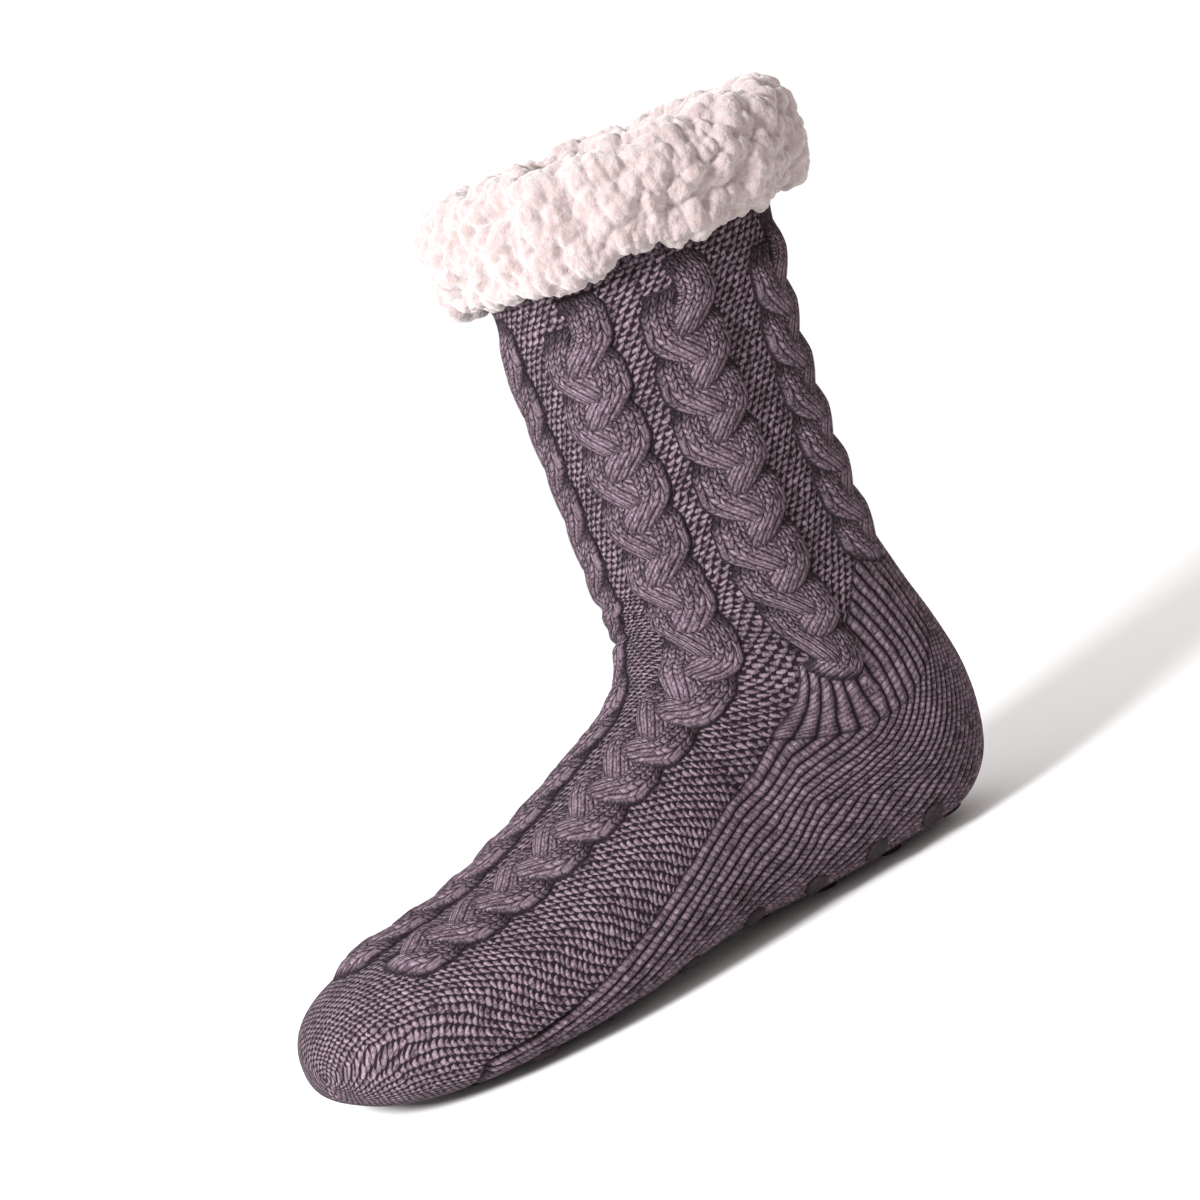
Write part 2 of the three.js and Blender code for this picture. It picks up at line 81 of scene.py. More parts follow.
# The cables: degrees round, and how far down the sock each goes as a share of its length.
CABLES = ((28, 0.92), (73, 0.47), (127, 0.37), (179, 0.36), (230, 0.37), (273, 0.47), (338, 0.92))

# Fleece cuff.
CUFF_PROUD = 0.0115
CUFF_INSIDE = 0.005
CUFF_OVER = 0.009
CUFF_DROP = 0.032

# How finely the pieces are meshed: a trial render may use fewer rows and columns.
FINE = 1.0
KNIT_ROWS = int(740 * FINE)
KNIT_COLUMNS = int(468 * FINE)
CUFF_ROWS = int(130 * FINE) + 2
CUFF_COLUMNS = int(620 * FINE)
LINING_ROWS = int(170 * FINE)
LINING_COLUMNS = 120
DOT_SIDES = 32
OUTLINE_STEPS = 90

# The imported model's own box places the sections: they start from its toe.
_, sock_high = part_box("knit_sock")
FRAME_SHIFT = (sock_high.x - FOOT_LENGTH, 0.0, 0.0)


def table(names, rows):
    """A table as one array for each named column."""
    return dict(zip(names.split(), np.array(rows, float).T))


# The sections of the model, as shares of the sizes above. belly: share of the way from
# the back to the front at which a section is widest. upper and sole: exponents of its
# outline before and behind that place.
SHAFT = table("up flare back", [
    (1.0, 1.0, 0.005), (0.78, 0.72, 0.022), (0.52, 0.18, 0.047), (0.25, -0.05, 0.059), (0.0, 0.0, 0.06),
])
HEEL = table("turn rise back up width belly upper sole", [
    (0.007, 0.124, 0.053, 0.87, 1.09, 0.5, 2.1, 2.1),
    (0.027, 0.235, 0.036, 0.7, 1.08, 0.49, 2.1, 2.1),
    (0.058, 0.332, 0.013, 0.53, 1.07, 0.47, 2.1, 2.1),
    (0.096, 0.418, 0.0, 0.37, 1.065, 0.45, 2.1, 2.15),
    (0.141, 0.494, 0.004, 0.225, 1.06, 0.43, 2.1, 2.2),
    (0.194, 0.565, 0.027, 0.1, 1.06, 0.42, 2.1, 2.35),
    (0.25, 0.627, 0.072, 0.025, 1.065, 0.4, 2.1, 2.5),
    (0.325, 0.694, 0.135, 0.0, 1.07, 0.385, 2.1, 2.65),
    (0.423, 0.765, 0.205, 0.0, 1.08, 0.37, 2.08, 2.75),
    (0.548, 0.837, 0.275, 0.0, 1.095, 0.36, 2.05, 2.8),
    (0.689, 0.901, 0.34, 0.003, 1.11, 0.355, 2.03, 2.8),
    (0.837, 0.954, 0.4, 0.012, 1.125, 0.35, 2.01, 2.8),
])
FOOT = table("along top arch width shift belly upper sole", [
    (0.46, 1.03, 1.0, 0.86, 0.012, 0.35, 2.0, 2.8),
    (0.56, 0.885, 0.8, 0.93, 0.012, 0.36, 2.0, 2.8),
    (0.65, 0.76, 0.15, 0.985, 0.0, 0.38, 2.05, 2.9),
    (0.735, 0.665, 0.0, 1.0, -0.012, 0.4, 2.1, 3.0),
    (0.82, 0.62, 0.0, 0.965, -0.03, 0.42, 2.15, 3.0),
    (0.91, 0.59, 0.0, 0.905, -0.062, 0.43, 2.2, 2.8),
    (1.0, 0.565, 0.0, 0.86, -0.095, 0.44, 2.2, 2.6),
])

# The shaft's sections are near ellipses, widest in the middle.
SHAFT_BELLY = 0.5
SHAFT_ROUNDNESS = 2.1


def shaft_sections():
    """Rows of SECTIONS for the shaft, from its edge down to the ankle."""
    depth = ANKLE_DEPTH + SHAFT["flare"] * (EDGE_DEPTH - ANKLE_DEPTH)
    width = ANKLE_WIDTH + SHAFT["flare"] * (EDGE_WIDTH - ANKLE_WIDTH)
    height = ANKLE_HEIGHT + SHAFT["up"] * (EDGE_HEIGHT - ANKLE_HEIGHT)
    back = SHAFT["back"] * FOOT_LENGTH
    same = np.ones_like(back)
    return np.stack([
        back + depth, height, back, height, width / 2, 0 * same,
        SHAFT_BELLY * same, SHAFT_ROUNDNESS * same, SHAFT_ROUNDNESS * same,
    ], 1)


def foot_sections():
    """Rows of SECTIONS for the foot, from the instep to the toe."""
    x = FOOT["along"] * FOOT_LENGTH
    return np.stack([
        x, FOOT["top"] * INSTEP_HEIGHT, x, SOLE_HEIGHT + FOOT["arch"] * ARCH_RISE,
        FOOT["width"] * BALL_WIDTH / 2, FOOT["shift"] * BALL_WIDTH,
        FOOT["belly"], FOOT["upper"], FOOT["sole"],
    ], 1)


def heel_sections(ankle, mid_foot):
    """Rows of SECTIONS that turn round the heel, from the ankle's to the mid foot's."""
    return np.stack([
        ankle[0] + HEEL["turn"] * (mid_foot[0] - ankle[0]),
        ankle[1] + HEEL["rise"] * (mid_foot[1] - ankle[1]),
        HEEL["back"] * FOOT_LENGTH,
        SOLE_HEIGHT + HEEL["up"] * (ANKLE_HEIGHT - SOLE_HEIGHT),
        HEEL["width"] * HEEL_WIDTH / 2, 0 * HEEL["up"], HEEL["belly"], HEEL["upper"], HEEL["sole"],
    ], 1)


# Columns of SECTIONS: front x and z, back x and z, half width, shift, belly, exponents.
# A station is a section's distance from the edge, along the middles of the sections.
shaft_rows, foot_rows = shaft_sections(), foot_sections()
SECTIONS = np.vstack([shaft_rows, heel_sections(shaft_rows[-1], foot_rows[0]), foot_rows])
section_middles = (SECTIONS[:, 0:2] + SECTIONS[:, 2:4]) / 2
middle_steps = np.linalg.norm(np.diff(section_middles, axis=0), axis=1)
STATIONS = np.concatenate([[0], np.cumsum(middle_steps)])
ANKLE_STATION = STATIONS[len(shaft_rows) - 1]
TIP_STATION = STATIONS[-1]
TOE_STATION = TIP_STATION - TOE_REACH


def between(at):
    """Section values at stations, smooth between the sections' own."""
    low = np.maximum(np.arange(len(STATIONS)) - 1, 0)
    high = np.minimum(np.arange(len(STATIONS)) + 1, len(STATIONS) - 1)
    slopes = (SECTIONS[high] - SECTIONS[low]) / (STATIONS[high] - STATIONS[low])[:, None]
    i = np.clip(np.searchsorted(STATIONS, at), 1, len(STATIONS) - 1)
    span = (STATIONS[i] - STATIONS[i - 1])[:, None]
    f = (at - STATIONS[i - 1])[:, None] / span
    return (
        (2 * f**3 - 3 * f**2 + 1) * SECTIONS[i - 1] + (f**3 - 2 * f**2 + f) * span * slopes[i - 1]
        + (3 * f**2 - 2 * f**3) * SECTIONS[i] + (f**3 - f**2) * span * slopes[i]
    )


def toe_turn(at):
    """The angle round the toe's dome at stations: 0 before it, a quarter turn at its tip."""
    return np.clip((at - TOE_STATION) / TOE_REACH, 0, 1) * math.pi / 2


def toe_share(at):
    """1 before the toe, falling to 0 at its tip as the girth does."""
    return np.maximum(np.cos(toe_turn(at)), 0) ** (2 / TOE_ROUNDNESS)


def sections_at(at):
    """Section values at stations. Past the toe's start they shrink to the tip as a dome."""
    turn = toe_turn(at)
    where = np.where(turn > 0, TOE_STATION + TOE_REACH * np.sin(turn) ** (2 / TOE_ROUNDNESS), at)
    found = between(where)
    scale = toe_share(at)
    found[:, 4] *= scale
    for height in (1, 3):
        found[:, height] = TOE_TIP_HEIGHT + (found[:, height] - TOE_TIP_HEIGHT) * scale
    return found


def signed_power(value, exponent):
    """A power that keeps the value's sign."""
    return np.sign(value) * np.abs(value) ** exponent


def half_outline(found, side):
    """One side of each section's outline, from front to back, and its running length."""
    front_x, front_z, back_x, back_z, half, shift, belly, upper, sole = (c[:, None] for c in found.T)
    angle = np.linspace(0, math.pi, OUTLINE_STEPS + 1)[None, :]
    c, s = np.cos(angle), np.sin(angle)
    exponent = np.where(c >= 0, 2 / upper, 2 / sole)
    share = belly + np.where(c >= 0, 1 - belly, belly) * signed_power(c, exponent)
    points = np.stack([
        back_x + share * (front_x - back_x),
        shift + side * half * np.abs(s) ** exponent,
        back_z + share * (front_z - back_z),
    ], 2)
    steps_long = np.linalg.norm(np.diff(points, axis=1), axis=2)
    return points, np.concatenate([np.zeros((len(found), 1)), np.cumsum(steps_long, 1)], 1)


def skin(at, rounds):
    """Points of the plain skin, rows by columns, and each row's girth.

    A round is a share of the turn from the front over the outer side.
    """
    found = sections_at(np.asarray(at, float))
    rounds = np.asarray(rounds, float) % 1
    points = np.empty((len(found), len(rounds), 3))
    girth = np.zeros(len(found))
    outer_side = (1, rounds <= 0.5, rounds * 2)
    inner_side = (-1, rounds > 0.5, (1 - rounds) * 2)
    for side, mask, share in (outer_side, inner_side):
        outline, length = half_outline(found, side)
        girth += length[:, -1]
        for r in range(len(found)):
            wanted = share[mask] * length[r, -1]
            for axis in range(3):
                points[r, mask, axis] = np.interp(wanted, length[r], outline[r, :, axis])
    return points, girth


def outward(points):
    """Outward directions of a closed grid of points, rows along and columns round."""
    along = np.gradient(points, axis=0)
    around = np.roll(points, -1, 1) - np.roll(points, 1, 1)
    normal = -np.cross(around, along)
    return normal / np.maximum(np.linalg.norm(normal, axis=2, keepdims=True), 1e-12)


def smooth(low, high, value):
    """A soft step from 0 at low to 1 at high."""
    t = np.clip((value - low) / (high - low), 0, 1)
    return t * t * (3 - 2 * t)


def groove(width, off):
    """1 on a line, falling to 0 at about twice the width beside it."""
    return np.exp(-((off / width) ** 2))


def frac(value):
    """What is left above the whole number."""
    return value - np.floor(value)


def turned_off(rounds):
    """Shares of a turn brought to between minus a half and a half."""
    return frac(rounds + 0.5) - 0.5


# Even rows are found from trial rows, which end this far before the tip, and lie evenly
# for this share of the columns.
TRIAL_ROWS = 1500
TRIAL_COLUMNS = 24
TIP_GAP = 0.0002
EVEN_FOR = 0.8


def even_rows(count):
    """Stations so that rows lie evenly for most columns of the skin."""
    trial = np.linspace(0, TIP_STATION - TIP_GAP, TRIAL_ROWS)
    points, _ = skin(trial, np.linspace(0, 1, TRIAL_COLUMNS, endpoint=False))
    steps = np.linalg.norm(np.diff(points, axis=0), axis=2)
    reach = np.concatenate([[0], np.cumsum(np.quantile(steps, EVEN_FOR, axis=1))])
    return np.interp(np.linspace(0, reach[-1], count), reach, trial)


# A plait of three strands. Each comes out from under the others, runs down along one
# edge, then sweeps over the middle and ends rounded, as it dives under the next one
# from the other edge. Places across are shares of half the cable's width, and parts
# of a strand's way are shares of its repeat.
STRAND_OUT = 0.54
STRAND_PAST = 0.30
STRAND_HALF = 0.56
EMERGE_FROM = -0.34
EMERGE_TO = 0.06
EMERGE_INSIDE = 0.22
SWEEP_FROM = 0.3
SWEEP_TO = 1.2
SWEEP_SLACK = 0.25
CROSSING_FROM = 0.45
CROSSING_TO = 0.8
STRAND_END = 1.32
LAST_STRAND_END = 0.92
STRAND_WALES = 5
STRAND_STEP = 0.5

# A strand's height: low where it comes out, full once it has risen, round at its end.
EMERGED_HEIGHT = 0.25
RISING_FROM = 0.8 * EMERGE_FROM
RISEN_AT = 0.4
STRAND_ROUNDING = 0.34
END_STEEPNESS = 0.6
END_BOW = 0.12

# A slanting strand is wider across, by this power of its stretch.
SLANT_WIDENING = 0.85


def strand(part, across, side, end):
    """Height, wale, course and crossing share of one strand at part of its way."""
    sweep = np.clip((part - SWEEP_FROM) / (SWEEP_TO - SWEEP_FROM), 0, 1)
    move = STRAND_OUT + STRAND_PAST
    emerge = smooth(EMERGE_TO, EMERGE_FROM, part)
    middle = STRAND_OUT - move * sweep * sweep * (3 - 2 * sweep) - EMERGE_INSIDE * emerge
    middle = side * middle
    slope = -side * move * 6 * sweep * (1 - sweep) / (SWEEP_TO - SWEEP_FROM)
    slope = slope * (CABLE_WIDTH / 2) / CABLE_REPEAT
    stretch = np.sqrt(1 + slope**2)
    offset = across - middle
    beside = offset / (STRAND_HALF * stretch**SLANT_WIDENING)
    bend = part + END_BOW * beside**2
    crest = EMERGED_HEIGHT + (1 - EMERGED_HEIGHT) * smooth(RISING_FROM, RISEN_AT, part)
    crest = crest * (1 - smooth(end - STRAND_ROUNDING, end, bend)) ** END_STEEPNESS
    height = crest * np.sqrt(np.maximum(1 - beside**2, 0))
    height = np.where((part > EMERGE_FROM) & (part < end), height, 0)
    wale = (beside + 1) / 2 * STRAND_WALES
    way = part * CABLE_REPEAT * (1 + SWEEP_SLACK * sweep)
    way = way + offset * CABLE_WIDTH / 2 * slope / stretch
    return height, wale, way / COURSE, smooth(CROSSING_FROM, CROSSING_TO, part)


def plait(run, across, first, last):
    """The highest strand at each place: its height, wale, course and crossing share.

    Only strands that start after first and end before last are there.
    """
    best = None
    for side, start in ((1, 0.0), (-1, STRAND_STEP)):
        turn = frac(run / CABLE_REPEAT - start)
        for earlier in (-1, 0, 1):
            part = turn + earlier
            origin = run - part * CABLE_REPEAT
            is_last = origin + (1 + STRAND_STEP) * CABLE_REPEAT > last
            found = strand(part, across, side, np.where(is_last, LAST_STRAND_END, STRAND_END))
            there = (origin > first) & (origin + CABLE_REPEAT < last)
            found = (found[0] * there, *found[1:])
            if best is None:
                best = list(found)
                continue
            higher = found[0] > best[0]
            best = [np.where(higher, new, old) for new, old in zip(found, best)]
    return best


# The plain sole and heel reach up to a side line, at these degrees round on the outer
# side by distance behind the toe's tip, and to a top that is higher round the back. The
# steps are soft, each from where it is 0 to where it is 1.
SIDE_LINE = table("behind_tip degrees", [
    (0.030, 108), (0.045, 106), (0.072, 97), (0.112, 84), (0.148, 72), (0.162, 64), (0.190, 60),
])
INNER_TURN = 7
PLAIN_TOP_SIDE = 0.072
PLAIN_TOP_BACK = 0.097
TOP_STEP = (72, 125)
TOE_SEAM = 0.030
ZONE_STEP = (-0.0004, 0.0004)
WALE_WIDTH = 0.0034

# Rows of stitches keep the pace of this column in degrees round. Outside the plain zone
# they come to their own pace over these degrees from the front.
PACE_ROUND = 48
OWN_PACE_STEP = (66, 95)

# Past this many degrees round, the toe's wales are those of the sole.
TOE_JOINT = 150

# The gore, where the heel turns: a line from the side line towards the heel, on which
# the wales are pushed back to a corner.
GORE_STATION = ANKLE_STATION + 0.092
GORE_LEAN = 0.0008
GORE_REACH = 0.034
GORE_PUSH = 0.014
GORE_RISE = 0.030
PUSH_STEP = (0.130, 0.030)

# Relief of the wales: cords in the plain zone, ribs at the edge, grooves in the strands,
# which are shallower on a crossing. A wale's round top has this mean.
RIB_EDGE = 0.026
RIB_STEP = (RIB_EDGE + 0.002, RIB_EDGE - 0.002)
RELIEF_STEP = (0.0, 0.012)
WALE_RELIEF = 0.0008
RIB_RELIEF = 0.0007
STRAND_GROOVE = 0.00035
CROWN_MEAN = 0.6
CROSSING_LOSS = 0.4

# A cable starts a little above the plain edge's end and runs a little past its length.
# Its strands reach this share of half its width, and are seen above this height.
CABLE_START = PLAIN_EDGE - 0.6 * CABLE_REPEAT
CABLE_OVERRUN = 0.1 * CABLE_REPEAT
CABLE_REACH = 1.2
STRAND_RISE = 1.2 * CABLE_RISE
STRAND_SEEN = 0.03
GROOVE_STEP = (STRAND_SEEN, 0.25)

# Shade in a cable: where strands are low, in the gaps between them, and beside it.
LOW_STEP = (0.6, 0.12)
GAP_STEP = (1.05, 0.85)
BESIDE_STEP = (1.15, 1.0)
BESIDE_SHADE = 0.3
GAPS_START = PLAIN_EDGE + 0.2 * CABLE_REPEAT
GAPS_SHORT = 0.5 * CABLE_REPEAT

# Creases and seams: widths, depths, where they fade in, and their shade.
SIDE_CREASE = 0.0010
SIDE_CREASE_STEP = (-0.001, 0.003)
CREASE_DEPTH = 0.0003
SLIT_DEPTH = 0.0018
SLIT_STEP = (0.075, 0.045)
CREASE_SHADE = 0.25
TOE_CREASE = 0.0013
TOE_CREASE_STEP = (-0.001, 0.001)
LEG_SEAM_ROUND = 306
LEG_SEAM = 0.001
LEG_SEAM_STEP = (0.070, 0.085)
LEG_SEAM_DEPTH = 0.0009
GORE_CREASE = 0.0010
GORE_CREASE_STEP = (0.0, 0.002)
GORE_LENGTH = 0.042
GORE_END_STEP = (1, 0.5)
GORE_DEPTH = 0.0005
SEAM_SHADE = 0.7

# Soft troughs over the front of the ankle, where the empty sock folds: distance from
# the ankle's station, degrees round, spread along and round, and depth. Beside its
# middle a fold bows down the sock.
FOLDS = table("along degrees spread_along spread_round depth", [
    (0.010, 350, 0.0060, 36, 0.0016),
    (0.027, 10, 0.0055, 34, 0.0018),
    (0.044, 346, 0.0050, 30, 0.0012),
    (-0.010, 25, 0.0070, 34, 0.0010),
    (0.004, 175, 0.0080, 44, 0.0010),
])
FOLD_BOW = 0.00012


class Places:
    """Where each point of a grid on the skin lies, rows along and columns round."""

    def __init__(self, at, rounds):
        self.at, self.rounds = at, rounds
        self.base, girth = skin(at, rounds)
        steps = np.linalg.norm(np.diff(self.base, axis=0), axis=2)
        self.run = np.concatenate([np.zeros((1, len(rounds))), np.cumsum(steps, 0)], 0)
        self.degrees = np.broadcast_to(rounds[None, :] * 360, self.run.shape)
        self.from_front = np.minimum(self.degrees, 360 - self.degrees)
        self.station = np.broadcast_to(at[:, None], self.run.shape)
        self.around = girth[:, None]
        self.height = self.base[..., 2]
        self.behind_tip = FOOT_LENGTH - self.base[..., 0]

        # Distances into the plain zone, from its side lines, its top and the toe's seam.
        outer_line = np.interp(self.behind_tip, SIDE_LINE["behind_tip"], SIDE_LINE["degrees"])
        inner_line = 360 - outer_line + INNER_TURN
        into = np.minimum(self.degrees - outer_line, inner_line - self.degrees)
        self.beside = into / 360 * self.around
        higher = (PLAIN_TOP_BACK - PLAIN_TOP_SIDE) * smooth(*TOP_STEP, self.from_front)
        self.below = PLAIN_TOP_SIDE + higher - self.height
        self.seam = self.behind_tip - TOE_SEAM

        # Distance past the gore's line, along the stations.
        self.gore = self.station - GORE_STATION + GORE_LEAN * (self.from_front - outer_line)


def plain_zone(place):
    """1 on heel, sides and sole, up to the side lines, the top and the toe's seam."""
    return smooth(*ZONE_STEP, np.minimum(np.minimum(place.beside, place.below), place.seam))


def count_wales(place, plain):
    """Wales beside the side lines in the plain zone, and round the sock elsewhere."""
    # In the plain zone they turn a corner on the gore.
    push = GORE_PUSH * np.clip(1 - np.abs(place.gore) / GORE_REACH, 0, 1)
    push = push * np.clip(place.beside / GORE_RISE, 0, 1) * smooth(*PUSH_STEP, place.beside)
    plain_wale = (place.beside - push) / WALE_WIDTH

    # Elsewhere they end one by one in the toe, counted from its top or from its sole.
    on_inner_side = place.degrees > 360 - TOE_JOINT
    middle = np.where(place.degrees < TOE_JOINT, 0, np.where(on_inner_side, 1, 0.5))
    wales_here = WALES_ROUND * toe_share(place.station)
    round_wale = (place.degrees / 360 - middle) * wales_here + middle * WALES_ROUND
    return np.where(plain > 0.5, plain_wale, round_wale)


def count_courses(place, plain):
    """Courses at one pace round the front, and along each wale in the plain zone: down
    from the edge as far as the gore, and back from the toe below it."""
    run = place.run
    pace = run[:, int(PACE_ROUND / 360 * len(place.rounds))][:, None]
    own = np.where(place.gore < 0, run, run - run[-1] + pace[-1])
    own_share = np.where(plain > 0.5, 1, smooth(*OWN_PACE_STEP, place.from_front))
    return (pace + (own - pace) * own_share) / COURSE


def crown(wale):
    """The round top of a wale between its grooves, about 0 on the mean."""
    return np.abs(np.sin(math.pi * wale)) - CROWN_MEAN


def add_cable(place, knit, at_degrees, end):
    """Raise one cable's strands in the knit's values, and shade its gaps."""
    off = place.degrees / 360 - at_degrees / 360
    off = off - np.round(off)
    across = off * place.around / (CABLE_WIDTH / 2)
    column = int(np.argmin(np.abs(turned_off(place.rounds - at_degrees / 360))))
    run = np.broadcast_to(place.run[:, column][:, None], place.run.shape)
    length = np.interp(end * TIP_STATION, place.at, place.run[:, column])
    near = np.abs(across) < CABLE_REACH
    near = near & (run > PLAIN_EDGE - CABLE_REPEAT) & (run < length + CABLE_REPEAT)
    across, run = across[near], run[near]

    height, wale, course, crossing = plait(run, across, CABLE_START, length + CABLE_OVERRUN)
    shown = height * smooth(CABLE_START, PLAIN_EDGE, run)
    is_strand = shown > STRAND_SEEN
    grooves = STRAND_GROOVE * crown(wale) * (1 - CROSSING_LOSS * crossing)
    lifted = STRAND_RISE * shown + grooves * smooth(*GROOVE_STEP, shown)
    knit["rise"][near] = np.maximum(knit["rise"][near], lifted)
    own = dict(wale=wale, course=course, crossing=crossing, plain=1, corded=0, relief=0)
    for label, value in own.items():
        knit[label][near] = np.where(is_strand, value, knit[label][near])

    between_ends = (run > GAPS_START) & (run < length - GAPS_SHORT)
    gap = smooth(*GAP_STEP, np.abs(across)) * between_ends
    thin = BESIDE_SHADE * smooth(*BESIDE_STEP, np.abs(across)) * between_ends
    dark = np.where(is_strand, smooth(*LOW_STEP, height), np.maximum(gap, thin))
    knit["shade"][near] = np.maximum(knit["shade"][near], dark)


def add_creases(place, knit):
    """Sink and shade the seams and the side lines, which open to slits at the toe."""
    near_toe = smooth(*SLIT_STEP, place.behind_tip)
    side_ends = smooth(*SIDE_CREASE_STEP, np.minimum(place.below, place.seam))
    side_line = groove(SIDE_CREASE, place.beside) * side_ends
    toe_line = groove(TOE_CREASE, place.seam) * smooth(*TOE_CREASE_STEP, place.beside)
    leg_off = turned_off(place.degrees / 360 - LEG_SEAM_ROUND / 360) * place.around
    leg_line = groove(LEG_SEAM, leg_off) * smooth(*LEG_SEAM_STEP, place.height)
    gore_line = groove(GORE_CREASE, place.gore) * smooth(*GORE_CREASE_STEP, place.beside)
    gore_line = gore_line * smooth(*GORE_END_STEP, place.beside / GORE_LENGTH)

    side_depth = CREASE_DEPTH + (SLIT_DEPTH - CREASE_DEPTH) * near_toe
    rise = knit["rise"] - side_line * side_depth - SLIT_DEPTH * toe_line
    knit["rise"] = rise - LEG_SEAM_DEPTH * leg_line - GORE_DEPTH * gore_line
    side_shade = side_line * (CREASE_SHADE + (1 - CREASE_SHADE) * near_toe)
    for dark in (side_shade, toe_line, SEAM_SHADE * leg_line, SEAM_SHADE * gore_line):
        knit["shade"] = np.maximum(knit["shade"], dark)


def add_folds(place, knit):
    """Sink the soft troughs round the ankle."""
    for along, centre, spread_along, spread_round, depth in zip(*FOLDS.values()):
        off = turned_off((place.degrees - centre) / 360) * 360
        bow = ANKLE_STATION + along + FOLD_BOW * np.abs(off)
        fold = groove(spread_along, place.station - bow) * groove(spread_round, off)
        knit["rise"] = knit["rise"] - depth * fold


def knit_grid(at, rounds):
    """The knit's displaced points with, for each, its stitch and its zone.

    A stitch is its wale, its course and whether it is plain or purl. A zone is how far
    it lies on a crossing, its shade and whether it is a cord.
    """
    place = Places(at, rounds)
    plain = plain_zone(place)
    wale = count_wales(place, plain)
    course = count_courses(place, plain)

    # Relief that the mesh carries, beside the finer relief of the shader.
    ribbed = smooth(*RIB_STEP, place.run)
    cord = WALE_RELIEF * crown(wale)
    rib = RIB_RELIEF * np.cos(math.pi * wale)
    relief = plain * cord * (1 - ribbed) + ribbed * (rib + cord)
    relief = relief * smooth(*RELIEF_STEP, place.behind_tip)
    plain = np.maximum(plain, ribbed)

    knit = dict(wale=wale, course=course, plain=plain, corded=plain * (1 - ribbed), relief=relief)
    for label in ("crossing", "rise", "shade"):
        knit[label] = np.zeros_like(place.run)
    for at_degrees, end in CABLES:
        add_cable(place, knit, at_degrees, end)
    add_creases(place, knit)
    add_folds(place, knit)

    points = place.base + outward(place.base) * (knit["rise"] + knit["relief"])[..., None]
    stitch = np.stack([knit["wale"], knit["course"], knit["plain"]], 2)
    zone = np.stack([knit["crossing"], knit["shade"], knit["corded"]], 2)
    return points, stitch, zone


def grid_faces(rows, columns, closed=True):
    """Quads of a grid whose columns close round."""
    r = np.arange(rows - 1)[:, None] * columns
    c = np.arange(columns if closed else columns - 1)[None, :]
    n = (c + 1) % columns
    return np.stack([r + c, r + columns + c, r + columns + n, r + n], 2).reshape(-1, 4)


def shift_to_frame(points):
    """From heel at x = 0 to the model's frame, whose origin is under its middle."""
    return points + np.array(FRAME_SHIFT)


def make_mesh(name, points, faces, normals=None, attributes=None):
    """A smooth object, with vector attributes and its own normals if they are given."""
    mesh = bpy.data.meshes.new(name)
    mesh.from_pydata(points.tolist(), [], [f.tolist() for f in faces])
    mesh.update()
    mesh.polygons.foreach_set("use_smooth", [True] * len(mesh.polygons))
    for label, values in (attributes or {}).items():
        layer = mesh.attributes.new(label, "FLOAT_VECTOR", "POINT")
        layer.data.foreach_set("vector", values.astype(np.float32).ravel())
    if normals is not None:
        mesh.normals_split_custom_set_from_vertices(normals.tolist())
    piece = bpy.data.objects.new(name, mesh)
    bpy.context.scene.collection.objects.link(piece)
    return piece


def dress(piece, material, slot, *nodes):
    """Give a piece its material, put it under the root, and hide the model's nodes that it replaces."""
    piece.data.materials.append(material)
    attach(piece, "root")
    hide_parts(*nodes)


# Shader wiring as plain arithmetic.
class Wire:
    """A value in a node tree. Arithmetic on it adds Math nodes."""

    def __init__(self, tree, socket):
        self.tree, self.socket = tree, socket

    def op(self, operation, *others, clamp=False):
        node = self.tree.nodes.new("ShaderNodeMath")
        node.operation = operation
        node.use_clamp = clamp
        for slot, value in zip(node.inputs, (self, *others)):
            if isinstance(value, Wire):
                self.tree.links.new(value.socket, slot)
            else:
                slot.default_value = value
        return Wire(self.tree, node.outputs[0])

    def __add__(self, other):
        return self.op("ADD", other)

    def __sub__(self, other):
        return self.op("SUBTRACT", other)

    def __mul__(self, other):
        return self.op("MULTIPLY", other)

    def __pow__(self, other):
        return self.op("POWER", other)

    def flip(self):
        """One minus the value."""
        return self.op("MULTIPLY_ADD", -1.0, 1.0)

    def fade(self, first, second):
        """A number, first at 0 and second at 1."""
        return self * (second - first) + first

    def between(self, low, high):
        """A smooth step from 0 at low to 1 at high."""
        node = self.tree.nodes.new("ShaderNodeMapRange")
        node.interpolation_type = "SMOOTHSTEP"
        node.inputs["From Min"].default_value = low
        node.inputs["From Max"].default_value = high
        self.tree.links.new(self.socket, node.inputs["Value"])
        return Wire(self.tree, node.outputs["Result"])

    def mix(self, first, second):
        """Another value, first at 0 and second at 1."""
        node = self.tree.nodes.new("ShaderNodeMix")
        self.tree.links.new(self.socket, node.inputs["Factor"])
        self.tree.links.new(first.socket, node.inputs["A"])
        self.tree.links.new(second.socket, node.inputs["B"])
        return Wire(self.tree, node.outputs["Result"])

    def tint(self, first, second):
        """A colour, first at 0 and second at 1."""
        node = self.tree.nodes.new("ShaderNodeMix")
        node.data_type = "RGBA"
        self.tree.links.new(self.socket, node.inputs["Factor"])
        for slot, value in zip(node.inputs[6:8], (first, second)):
            if isinstance(value, Wire):
                self.tree.links.new(value.socket, slot)
            else:
                slot.default_value = (*value, 1)
        return Wire(self.tree, node.outputs[2])


def new_material(name, roughness, specular=0.25, sheen=0.0):
    """A material with its node tree and its shader."""
    material = bpy.data.materials.new(name)
    material.use_nodes = True
    shader = material.node_tree.nodes["Principled BSDF"]
    shader.inputs["Roughness"].default_value = roughness
    shader.inputs["Specular IOR Level"].default_value = specular
    shader.inputs["Sheen Weight"].default_value = sheen
    shader.inputs["Sheen Roughness"].default_value = 0.6
    return material, material.node_tree, shader


